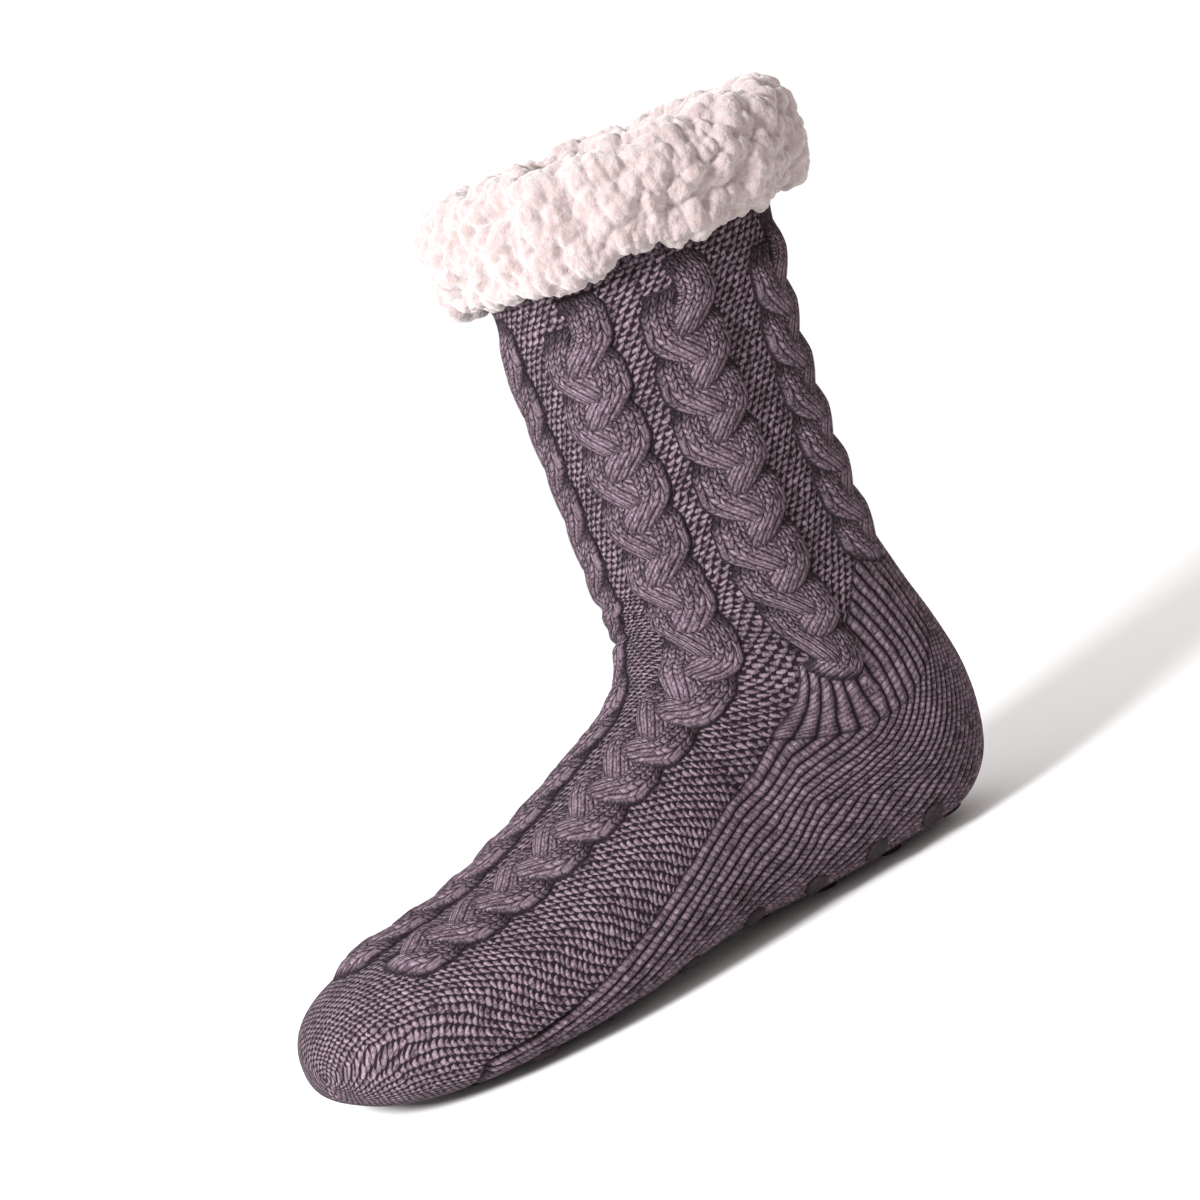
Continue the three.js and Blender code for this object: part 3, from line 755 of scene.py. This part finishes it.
def attribute(tree, name):
    """The three numbers that the mesh keeps under a name."""
    node = tree.nodes.new("ShaderNodeAttribute")
    node.attribute_name = name
    split = tree.nodes.new("ShaderNodeSeparateXYZ")
    tree.links.new(node.outputs["Vector"], split.inputs[0])
    return [Wire(tree, out) for out in split.outputs]


def combined(tree, *values):
    """A vector of three values or numbers."""
    node = tree.nodes.new("ShaderNodeCombineXYZ")
    for slot, value in zip(node.inputs, values):
        if isinstance(value, Wire):
            tree.links.new(value.socket, slot)
        else:
            slot.default_value = value
    return Wire(tree, node.outputs[0])


def noise(tree, scale, detail=2.0, where=None, distortion=0.0):
    """Soft noise about a half, over the object unless where says otherwise."""
    node = tree.nodes.new("ShaderNodeTexNoise")
    node.inputs["Scale"].default_value = scale
    node.inputs["Detail"].default_value = detail
    node.inputs["Distortion"].default_value = distortion
    if where is None:
        where = Wire(tree, tree.nodes.new("ShaderNodeTexCoord").outputs["Object"])
    tree.links.new(where.socket, node.inputs["Vector"])
    return Wire(tree, node.outputs["Fac"])


def shifted(tree):
    """The object's own coordinates, moved so that a second noise differs."""
    node = tree.nodes.new("ShaderNodeVectorMath")
    tree.links.new(tree.nodes.new("ShaderNodeTexCoord").outputs["Object"], node.inputs[0])
    node.inputs[1].default_value = (0.37, 0.11, 0.53)
    return Wire(tree, node.outputs["Vector"])


def white_noise(tree, where):
    """A random number for each cell."""
    node = tree.nodes.new("ShaderNodeTexWhiteNoise")
    tree.links.new(where.socket, node.inputs["Vector"])
    return Wire(tree, node.outputs["Value"])


def bump(tree, shader, height, distance, strength=1.0):
    """Relief of a shader, distance high where height is 1."""
    node = tree.nodes.new("ShaderNodeBump")
    node.inputs["Distance"].default_value = distance
    node.inputs["Strength"].default_value = strength
    tree.links.new(height.socket, node.inputs["Height"])
    tree.links.new(node.outputs["Normal"], shader.inputs["Normal"])


# Near black painted shade for the low places between stitches; then the yarn's dark and light tones,
# which the marl and the painted light on its crests mix.
YARN_GAP_SHADE = (0.011, 0.0065, 0.0080)
YARN_DARK = (0.025, 0.0155, 0.0195)
YARN_LIGHT = (0.285, 0.205, 0.252)

# How far stitches stray from their rows, in wales and courses: in purl, then in plain.
WALE_STRAY = (0.6, 0.35)
WALE_STRAY_SCALE = 170.0
COURSE_STRAY = (1.2, 0.7)
COURSE_STRAY_SCALE = 210.0

# Legs of plain stitches. A strand's wale has two, which slant to its middle, and a cord
# has one. Their ends dip: in a strand, in a cord, and where a strand crosses.
LEG_SLANT = 0.62
LEG_MIDDLE = 0.44
LEG_NARROWING = 1.68
CORD_SLANT = 0.9
CORD_NARROWING = 1.04
LEG_END_POWER = 2.4
STRAND_DIP = 0.85
CORD_DIP = 0.6
CROSSING_DIP = 0.3

# Purl beads: how they narrow across and along, and how their rows bow and lean. They
# fill their ground more than legs do.
BEAD_ACROSS = 1.9
BEAD_ALONG = 24.0
BEAD_BOW = 0.3
BEAD_LEAN = 0.26
BEAD_SHIFT = -0.02
BEAD_FILL = 0.13

# What makes the yarn lighter: each leg's own tone, fibres along it, clouds and specks, and painted
# light on its crests, down to LOW_LIGHT in its lows.
TONE = 0.4
FIBRE = 1.0
FIBRES_ACROSS = 11.0
FIBRES_ALONG = 2.2
CLOUD = 0.35
CLOUD_SCALE = 60.0
SPECK = 0.9
SPECK_SCALE = 1300.0
LIGHT_LEVEL = 0.95
LOW_LIGHT = 0.16

# Low places between stitches are painted with near black shade below the first height, the yarn shows
# fully above the second, and the zone's painted shade takes this much of it.
GAP_SHADE_HEIGHTS = (0.2, 0.74)
SHADE = 0.85
YARN_RELIEF = 0.0010
FIBRE_RELIEF = 0.2


def plain_stitches(aside, along, crossing, corded):
    """Height of plain stitches, aside of a wale's middle and along a leg."""
    two_legs = ((aside - LEG_MIDDLE) * LEG_NARROWING).op("POWER", 2.0).flip()
    one_leg = (aside * CORD_NARROWING).op("POWER", 2.0).flip()
    leg = corded.mix(two_legs, one_leg).op("MAXIMUM", 0.0)
    leg_end = (along ** LEG_END_POWER).flip().op("MAXIMUM", 0.0)
    dip = corded.fade(STRAND_DIP, CORD_DIP)
    looped = (leg * (leg_end * dip + dip.flip())).op("SQRT")
    drawn = (leg * (leg_end * CROSSING_DIP + (1 - CROSSING_DIP))).op("SQRT")
    return crossing.mix(looped, drawn)


def purl_stitches(wale, course):
    """Height of purl stitches: beads in staggered rows, longer across than along."""
    rows = course * 0.5

    def bead(half):
        x = (wale + half).op("FRACT") - 0.5
        y = (rows + half).op("FRACT") - 0.5
        curved = y + x * x * BEAD_BOW + x * BEAD_LEAN + BEAD_SHIFT
        return (x * x * BEAD_ACROSS + curved * curved * BEAD_ALONG).flip().op("MAXIMUM", 0.0)

    return bead(0.0).op("MAXIMUM", bead(0.5)).op("SQRT")


def knit_material():
    """Heathered yarn: V stitches where the knit is plain, beads where it is purl."""
    material, tree, shader = new_material("heathered_knit", 0.9, specular=0.12)
    wale, course, plain = attribute(tree, "stitch")
    crossing, shade, corded = attribute(tree, "zone")

    # No two stitches lie quite alike.
    wale = wale + (noise(tree, WALE_STRAY_SCALE) - 0.5) * plain.fade(*WALE_STRAY)
    course_noise = noise(tree, COURSE_STRAY_SCALE, where=shifted(tree))
    course = course + (course_noise - 0.5) * plain.fade(*COURSE_STRAY)

    over = wale.op("FRACT") - 0.5
    aside = over.op("ABSOLUTE") * 2.0
    slanted = course + corded.mix(aside * LEG_SLANT, over * CORD_SLANT)
    along = (slanted.op("FRACT") * 2.0 - 1.0).op("ABSOLUTE")
    plain_height = plain_stitches(aside, along, crossing, corded)
    height = plain.mix(purl_stitches(wale, course), plain_height)

    # Marl: the lightness of the yarn.
    tone = white_noise(tree, combined(tree, (wale * 2.0).op("FLOOR"), slanted.op("FLOOR"), 0.0))
    along_yarn = combined(tree, wale * FIBRES_ACROSS, slanted * FIBRES_ALONG, 0.0)
    fibre = noise(tree, 1.0, 3.0, along_yarn)
    cloud = noise(tree, CLOUD_SCALE, 2.0)
    speck = noise(tree, SPECK_SCALE, 1.0)
    light = tone * TONE + fibre * FIBRE + cloud * CLOUD + speck * SPECK - LIGHT_LEVEL

    filled = height + plain.flip() * BEAD_FILL
    # Painted light and shade: the yarn is lighter on its crests and darker down its sides.
    light = light * (filled * filled + LOW_LIGHT)
    body = light.op("ADD", 0.0, clamp=True).tint(YARN_DARK, YARN_LIGHT)
    # Painted shade: the low places between stitches and the zone's shaded places take the near black
    # gap colour.
    unshaded = filled.between(*GAP_SHADE_HEIGHTS) * (shade * SHADE).flip()
    colour = unshaded.tint(YARN_GAP_SHADE, body)
    tree.links.new(colour.socket, shader.inputs["Base Color"])
    bump(tree, shader, height + fibre * FIBRE_RELIEF, YARN_RELIEF)
    return material


# Lit and shaded tones of the fleece, for the painted light and shade on its tufts and curls.
FLEECE_LIGHT = (0.41, 0.340, 0.332)
FLEECE_SHADE = (0.30, 0.222, 0.212)
FLEECE_RELIEF = 0.0012
CURL_SCALE = 700.0
TUFT_SCALE = 240.0


def fleece_material():
    """Curly fleece: soft lumps with fine curled fibres."""
    material, tree, shader = new_material("curly_fleece", 0.95, sheen=0.6)
    shader.inputs["Subsurface Weight"].default_value = 0.25
    shader.inputs["Subsurface Radius"].default_value = (0.004, 0.003, 0.0028)
    shader.inputs["Subsurface Scale"].default_value = 0.6
    curls = noise(tree, CURL_SCALE, 4.0, distortion=1.6)
    tufts = noise(tree, TUFT_SCALE, 3.0, distortion=0.8)
    # Painted light and shade: the fleece is lighter where its tufts and curls rise and darker between
    # them.
    light = curls * 0.5 + tufts * 0.7 - 0.25
    colour = light.between(0.05, 0.6).tint(FLEECE_SHADE, FLEECE_LIGHT)
    tree.links.new(colour.socket, shader.inputs["Base Color"])
    bump(tree, shader, curls * 0.5 + tufts, FLEECE_RELIEF, 0.8)
    return material


DOT_DARK = (0.020, 0.015, 0.017)
DOT_LIGHT = (0.034, 0.026, 0.029)
DOT_RELIEF = 0.0002
GRAIN_SCALE = 900.0


def silicone_material():
    """Dull dark silicone with a fine grain."""
    material, tree, shader = new_material("grip_silicone", 0.75, specular=0.1)
    grain = noise(tree, GRAIN_SCALE, 3.0)
    colour = grain.between(0.3, 0.7).tint(DOT_DARK, DOT_LIGHT)
    tree.links.new(colour.socket, shader.inputs["Base Color"])
    bump(tree, shader, grain, DOT_RELIEF, 0.4)
    return material


# The knitted skin's pieces, from its edge to its toe.
KNIT_PIECES = ("knit_leg", "knit_ankle", "knit_heel", "knit_foot", "knit_toe")


def close_round(values):
    """A grid with its first column again as its last."""
    return np.concatenate([values, values[:, :1]], 1)


def build_knit():
    """The knitted skin in pieces from top to toe, which share their edges."""
    at = even_rows(KNIT_ROWS)
    rounds = np.arange(KNIT_COLUMNS) / KNIT_COLUMNS
    points, stitch, zone = knit_grid(at, rounds)
    normals = close_round(outward(points))
    points = close_round(shift_to_frame(points))
    stitch, zone = close_round(stitch), close_round(zone)

    # The closing column counts on, so that no wale is squeezed in before it.
    stitch[:, -1, 0] = WALES_ROUND
    columns = KNIT_COLUMNS + 1
    material = knit_material()
    cuts = np.linspace(0, len(at) - 1, len(KNIT_PIECES) + 1).astype(int)
    for name, start, stop in zip(KNIT_PIECES, cuts[:-1], cuts[1:]):
        part = slice(start, stop + 1)
        rows = stop + 1 - start
        piece_points = points[part].reshape(-1, 3)
        piece_normals = normals[part].reshape(-1, 3)
        layers = {"stitch": stitch[part].reshape(-1, 3), "zone": zone[part].reshape(-1, 3)}
        faces = list(grid_faces(rows, columns, closed=False))
        if name == KNIT_PIECES[-1]:
            tip = points[-1].mean(0)
            piece_points = np.vstack([piece_points, tip])
            piece_normals = np.vstack([piece_normals, (1, 0, 0)])
            layers = {key: np.vstack([value, value[-1]]) for key, value in layers.items()}
            ring = (rows - 1) * columns + np.arange(KNIT_COLUMNS)
            pole = np.full(KNIT_COLUMNS, len(piece_points) - 1)
            faces += list(np.stack([ring, pole, ring + 1], 1))
        piece = make_mesh(name, piece_points, faces, piece_normals, layers)
        dress(piece, material, "cable_knit", "knit_sock")


# The cuff's outline: base outside or inside the wall, share of its reach, and drop
# below its top as a share of its length.
CUFF = [
    (1, 0.0, 0.93), (1, 0.35, 1.0), (1, 0.78, 0.95), (1, 0.97, 0.78), (1, 1.0, 0.6), (1, 1.0, 0.42),
    (1, 0.95, 0.24), (1, 0.72, 0.09), (1, 0.28, 0.01), (0, 0.1, 0.02), (0, 0.8, 0.13), (0, 1.0, 0.36),
    (0, 0.95, 0.66), (0, 0.6, 0.93), (0, 0.0, 0.96),
]

# Trial points along the cuff's outline, and how many of them its running mean takes.
CUFF_TRIAL = 400
CUFF_BLUR = 35

# The cuff's lumps: size, rise, and the share of their height that is the mean surface.
# They come up over this many rows at the cuff's ends.
TUFT = (0.0066, 0.0030, 0.4)
CURL = (0.0026, 0.0009, 0.5)
CLUMP = (0.016, 0.0036, 0.2)
CUFF_END_ROWS = 8

# The lining's lumps: size and rise.
LINING_LUMP = (0.006, 0.0006)

# Half the width of a lump's dome, as a share of its size, and how far its centre strays,
# as a share of half its size.
DOME_REACH = 0.75
LUMP_STRAY = 0.45


def cuff_outline(count):
    """The cuff's outline as distance out of the knit's outer face, and height."""
    corners = np.array([
        (
            share * CUFF_PROUD if out else -WALL - share * CUFF_INSIDE,
            EDGE_HEIGHT + CUFF_OVER - drop * CUFF_DROP,
        )
        for out, share, drop in CUFF
    ])
    steps = np.linalg.norm(np.diff(corners, axis=0), axis=1)
    reach = np.concatenate([[0], np.cumsum(steps)])
    fine = np.linspace(0, reach[-1], CUFF_TRIAL)
    path = np.stack([np.interp(fine, reach, corners[:, k]) for k in (0, 1)], 1)

    # The corners are rounded by a running mean.
    blur = np.hanning(CUFF_BLUR) / np.hanning(CUFF_BLUR).sum()
    pad = CUFF_BLUR // 2
    padded = np.vstack([np.repeat(path[:1], pad, 0), path, np.repeat(path[-1:], pad, 0)])
    path = np.stack([np.convolve(padded[:, k], blur, "valid") for k in (0, 1)], 1)
    wanted = np.linspace(0, reach[-1], count)
    return np.stack([np.interp(wanted, fine, path[:, k]) for k in (0, 1)], 1)


def lumps(grid, size, seed):
    """Domes on scattered centres: 1 at a centre, falling towards the next one."""
    points = grid.reshape(-1, 3)
    rng = np.random.default_rng(seed)
    cells = {}
    for p in points[rng.permutation(len(points))]:
        key = tuple(np.floor(p / size).astype(int))
        cells.setdefault(key, p + rng.uniform(-LUMP_STRAY, LUMP_STRAY, 3) * size / 2)
    tree = KDTree(len(cells))
    for i, centre in enumerate(cells.values()):
        tree.insert(centre, i)
    tree.balance()
    away = np.array([tree.find(p)[2] for p in points]).reshape(grid.shape[:2])
    return np.clip(1 - (away / (DOME_REACH * size)) ** 2, 0, 1)


def build_cuff():
    """The turned-down fleece, with tufts and curls on the model's roll."""
    outline = cuff_outline(CUFF_ROWS)
    rounds = np.arange(CUFF_COLUMNS) / CUFF_COLUMNS

    # Level directions out of the knit, at the height of each point of the outline.
    trial = np.linspace(0, ANKLE_STATION, CUFF_TRIAL)
    stations = np.interp(-outline[:, 1], -sections_at(trial)[:, 1], trial)
    rows, _ = skin(stations, rounds)
    way = np.roll(rows, -1, 1) - np.roll(rows, 1, 1)
    level = np.stack([way[..., 1], -way[..., 0], 0 * way[..., 0]], 2)
    level /= np.linalg.norm(level, axis=2, keepdims=True)
    grid = rows + level * outline[:, 0][:, None, None]
    grid[..., 2] = outline[:, 1][:, None]
    grid = grid[::-1]

    tufts = smooth(0, 1, lumps(grid, TUFT[0], 5))
    curls = lumps(grid, CURL[0], 9)
    clumps = smooth(0, 1, lumps(grid, CLUMP[0], 12))
    rise = TUFT[1] * (tufts - TUFT[2]) + CURL[1] * (curls - CURL[2]) + CLUMP[1] * (clumps - CLUMP[2])
    from_end = np.minimum(np.arange(len(grid)), np.arange(len(grid))[::-1])
    rise = rise * smooth(0, CUFF_END_ROWS * FINE, from_end)[:, None]
    points = grid + outward(grid) * rise[..., None]
    faces = grid_faces(len(grid), CUFF_COLUMNS)
    piece = make_mesh("fleece_cuff", shift_to_frame(points).reshape(-1, 3), faces)
    dress(piece, fleece, "curly_fleece", "sherpa_cuff")


def build_lining():
    """The fleece inside the sock, from the cuff down to the toe."""
    at = even_rows(LINING_ROWS)
    rounds = np.arange(LINING_COLUMNS) / LINING_COLUMNS
    base, _ = skin(at, rounds)
    size, rise = LINING_LUMP
    depth = WALL - rise * lumps(base, size, 3)
    points = base - outward(base) * depth[..., None]
    points[-1] = points[-1].mean(0)
    faces = grid_faces(len(at), LINING_COLUMNS)[:, ::-1]
    piece = make_mesh("fleece_lining", shift_to_frame(points).reshape(-1, 3), faces)
    dress(piece, fleece, "curly_fleece", "knit_sock")


# A dot's rounded profile: share of its radius, and share of its depth, from its middle.
DOT_PROFILE = ((0.0, 1.0), (0.55, 1.0), (0.8, 0.97), (0.93, 0.8), (1.0, 0.45), (1.0, 0.0))


def dot_shape(corners, start):
    """Points and faces of one rounded dot, on the place and axis of a model's dot.

    Its faces count its points from start.
    """
    middle = corners.mean(0)
    _, _, ways = np.linalg.svd(corners - middle)
    axis = ways[2] if ways[2][2] < 0 else -ways[2]
    depth = (corners - middle) @ axis
    radius = np.linalg.norm((corners - middle) - np.outer(depth, axis), axis=1).max()
    turn = np.linspace(0, 2 * math.pi, DOT_SIDES, endpoint=False)
    ring = np.outer(np.cos(turn), ways[0]) + np.outer(np.sin(turn), ways[1])
    points = [middle + axis * depth.max()]
    for share, up in DOT_PROFILE[1:]:
        level = depth.min() + up * (depth.max() - depth.min())
        points += list(middle + ring * radius * share + axis * level)

    handed = np.dot(np.cross(ways[0], ways[1]), axis) > 0
    faces = []
    for k in range(DOT_SIDES):
        n = (k + 1) % DOT_SIDES
        loops = [[start, start + 1 + k, start + 1 + n]]
        for step in range(len(DOT_PROFILE) - 2):
            inner = start + 1 + step * DOT_SIDES
            outer = inner + DOT_SIDES
            loops.append([inner + k, outer + k, outer + n, inner + n])
        faces += [loop if handed else loop[::-1] for loop in loops]
    return points, faces


def build_dots():
    """All grip dots as one piece, none of them under the floor."""
    points, faces = [], []
    names = sorted(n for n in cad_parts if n.startswith("grip_dot"))
    for name in names:
        corners = np.array([v.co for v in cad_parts[name].data.vertices])
        dot_points, dot_faces = dot_shape(corners, len(points))
        points += dot_points
        faces += dot_faces
    points = np.array(points)
    points[:, 2] = np.maximum(points[:, 2], 0)
    piece = make_mesh("grip_dots", points, [np.array(f) for f in faces])
    dress(piece, silicone_material(), "grip_silicone", *names)


# Camera, as the photograph stands to the shoe: turned round it, slightly raised and
# rolled so that the shaft leans to the left.
CAMERA_AZIMUTH = 151
CAMERA_ELEVATION = 8
CAMERA_ROLL = 22
CAMERA_DISTANCE = 1.15
CAMERA_LENS = 112
SENSOR = 36
AIM = (-0.012, 0.0, 0.112)


def build_camera():
    """The scene's camera, rolled about its own line of sight."""
    azimuth = math.radians(CAMERA_AZIMUTH)
    elevation = math.radians(CAMERA_ELEVATION)
    roll = math.radians(CAMERA_ROLL)
    back = Vector((
        math.sin(azimuth) * math.cos(elevation),
        -math.cos(azimuth) * math.cos(elevation),
        math.sin(elevation),
    ))
    right = Vector((0, 0, 1)).cross(back).normalized()
    up = back.cross(right)
    rolled_right = right * math.cos(roll) - up * math.sin(roll)
    rolled_up = up * math.cos(roll) + right * math.sin(roll)
    camera = bpy.data.objects.new("camera", bpy.data.cameras.new("camera"))
    bpy.context.scene.collection.objects.link(camera)
    camera.data.lens = CAMERA_LENS
    camera.data.sensor_width = SENSOR
    camera.matrix_world = Matrix((
        (rolled_right.x, rolled_up.x, back.x, AIM[0] + back.x * CAMERA_DISTANCE),
        (rolled_right.y, rolled_up.y, back.y, AIM[1] + back.y * CAMERA_DISTANCE),
        (rolled_right.z, rolled_up.z, back.z, AIM[2] + back.z * CAMERA_DISTANCE),
        (0, 0, 0, 1),
    ))
    bpy.context.scene.camera = camera


FLOOR_RADIUS = 0.9
FLOOR_COLOUR = (0.86, 0.85, 0.845, 1)
FLOOR_CORNERS = 96

# The floor is clear at the first share of its radius and whole within the second.
FLOOR_FADE = (0.95, 0.3)


def build_floor():
    """A pale floor that fades into the white round it."""
    mesh = bpy.data.meshes.new("floor")
    turns = np.linspace(0, 2 * math.pi, FLOOR_CORNERS, endpoint=False)
    rim = [(FLOOR_RADIUS * math.cos(t), FLOOR_RADIUS * math.sin(t), 0) for t in turns]
    mesh.from_pydata(rim, [], [list(range(FLOOR_CORNERS))])
    floor = bpy.data.objects.new("floor", mesh)
    bpy.context.scene.collection.objects.link(floor)
    material, tree, shader = new_material("floor", 0.6)
    shader.inputs["Base Color"].default_value = FLOOR_COLOUR
    place = tree.nodes.new("ShaderNodeTexCoord")
    length = tree.nodes.new("ShaderNodeVectorMath")
    length.operation = "LENGTH"
    tree.links.new(place.outputs["Object"], length.inputs[0])
    clear_at, whole_at = (FLOOR_RADIUS * share for share in FLOOR_FADE)
    fade = Wire(tree, length.outputs["Value"]).between(clear_at, whole_at)
    tree.links.new(fade.socket, shader.inputs["Alpha"])
    mesh.materials.append(material)


# The key light, from in front of the toe: a disk of this width, aimed at mid height.
KEY_PLACE = (1.52, 0.56, 0.92)
KEY_TARGET = (0, 0, 0.11)
KEY_WIDTH = 0.5
KEY_POWER = 66
KEY_COLOUR = (0.97, 0.985, 1.0)

# White light from all round, a little dimmer and warmer from behind the heel.
DIM_SIDE = (-0.8, 0.55, 0.0)
DIM_STEP = (0.1, 0.95)
WHITE = (1.0, 1.0, 1.0)
DIM_COLOUR = (0.62, 0.51, 0.49)


def build_key_light():
    """The one lamp, which draws the soft shadow behind the heel."""
    light = bpy.data.objects.new("key", bpy.data.lights.new("key", "AREA"))
    bpy.context.scene.collection.objects.link(light)
    light.data.shape = "DISK"
    light.data.size = KEY_WIDTH
    light.data.energy = KEY_POWER
    light.data.color = KEY_COLOUR
    light.location = KEY_PLACE
    aim = Vector(KEY_TARGET) - Vector(KEY_PLACE)
    light.rotation_euler = aim.to_track_quat("-Z", "Y").to_euler()


def build_world():
    """The white light from all round."""
    world = bpy.data.worlds.new("studio")
    world.use_nodes = True
    tree = world.node_tree
    around = tree.nodes.new("ShaderNodeVectorMath")
    around.operation = "DOT_PRODUCT"
    direction = tree.nodes.new("ShaderNodeTexCoord").outputs["Generated"]
    tree.links.new(direction, around.inputs[0])
    around.inputs[1].default_value = Vector(DIM_SIDE).normalized()
    dimmed = Wire(tree, around.outputs["Value"]).between(*DIM_STEP)
    colour = dimmed.tint(WHITE, DIM_COLOUR)
    tree.links.new(colour.socket, tree.nodes["Background"].inputs["Color"])
    bpy.context.scene.world = world


fleece = fleece_material()
build_knit()
build_cuff()
build_lining()
build_dots()
build_camera()
build_floor()
build_world()
build_key_light()
bpy.context.scene.view_settings.view_transform = "Standard"
